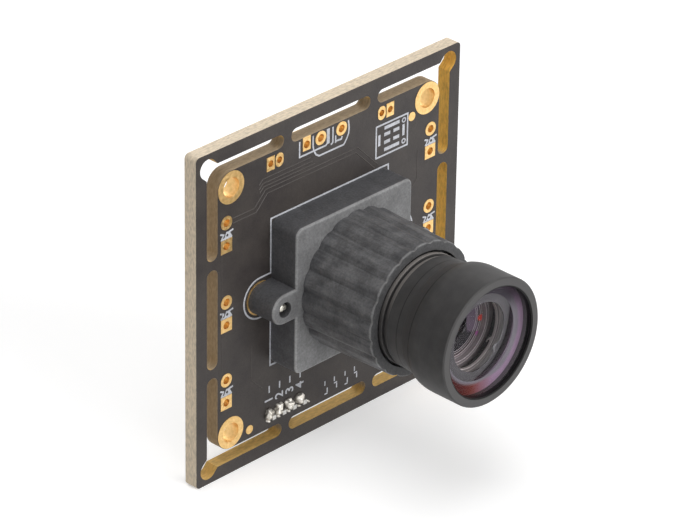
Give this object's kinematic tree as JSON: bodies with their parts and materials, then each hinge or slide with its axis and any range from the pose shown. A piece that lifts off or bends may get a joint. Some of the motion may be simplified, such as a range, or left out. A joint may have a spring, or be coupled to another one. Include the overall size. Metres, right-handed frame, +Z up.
{
  "type": "camera module",
  "caption": "Board camera module: square circuit board in a break-off frame, fluted plastic lens holder with screw ears, fixed-focus lens with coated front glass, cable header behind.",
  "frame": {"origin": "middle of the four corner holes, on the rear face of the circuit board", "axes": "the lens points along -Y, +Z is up the board as in the picture, +X to the right seen from the front"},
  "size_m": [0.038, 0.0307, 0.038],
  "materials": {
    "board_laminate": "satin solder mask over glass-filled laminate, raw tan edges",
    "gold_plating": "smooth gold plating",
    "white_ink": "matt printed ink",
    "solder": "bright, uneven",
    "header_plastic": "satin moulded plastic",
    "tinned_metal": "tinned, satin",
    "holder_plastic": "fine grained moulded plastic",
    "screw_steel": "zinc plated",
    "package_green": "satin substrate",
    "silicon": "polished",
    "clear_glass": "polished",
    "filter_glass": "polished, coated",
    "barrel_black": "black anodised, satin, turned",
    "flat_black": "flat black",
    "coated_glass": "polished, violet coating",
    "chip_epoxy": "fine moulded texture",
    "crystal_can": "satin lid",
    "tantalum_yellow": "satin moulded",
    "ferrite": "fired ceramic",
    "capacitor_tan": "fired ceramic",
    "resistor_black": "glazed top"
  },
  "bodies": {
    "root": {"circuit_board": "board_laminate", "corner_hole_plating": "gold_plating", "lamp_pads": "gold_plating", "header_pads": "gold_plating", "light_sensor_pads": "gold_plating", "ear_hole_lands": "gold_plating", "fiducial_marks": "gold_plating", "printed_legend": "white_ink", "solder_joints": "solder", "cable_header_shroud": "header_plastic", "cable_header_pins": "tinned_metal", "lens_holder": "holder_plastic", "ear_screws": "screw_steel", "sensor_package": "package_green", "sensor_die": "silicon", "sensor_cover_glass": "clear_glass", "infrared_filter": "filter_glass", "lens_barrel": "barrel_black", "front_retaining_ring": "flat_black", "front_element": "coated_glass", "light_shield": "flat_black", "front_spacer": "flat_black", "second_element": "coated_glass", "funnel_ring": "flat_black", "aperture_plate": "flat_black", "third_element": "clear_glass", "rear_spacer": "flat_black", "rear_element": "clear_glass", "processor": "chip_epoxy", "processor_leads": "tinned_metal", "flash_memory": "chip_epoxy", "flash_leads": "tinned_metal", "crystal": "crystal_can", "regulators": "chip_epoxy", "regulator_leads": "tinned_metal", "bulk_capacitor": "tantalum_yellow", "bulk_capacitor_leads": "tinned_metal", "ferrite_beads": "ferrite", "chip_capacitors": "capacitor_tan", "chip_resistors": "resistor_black", "chip_end_caps": "tinned_metal"}
  },
  "joints": []
}
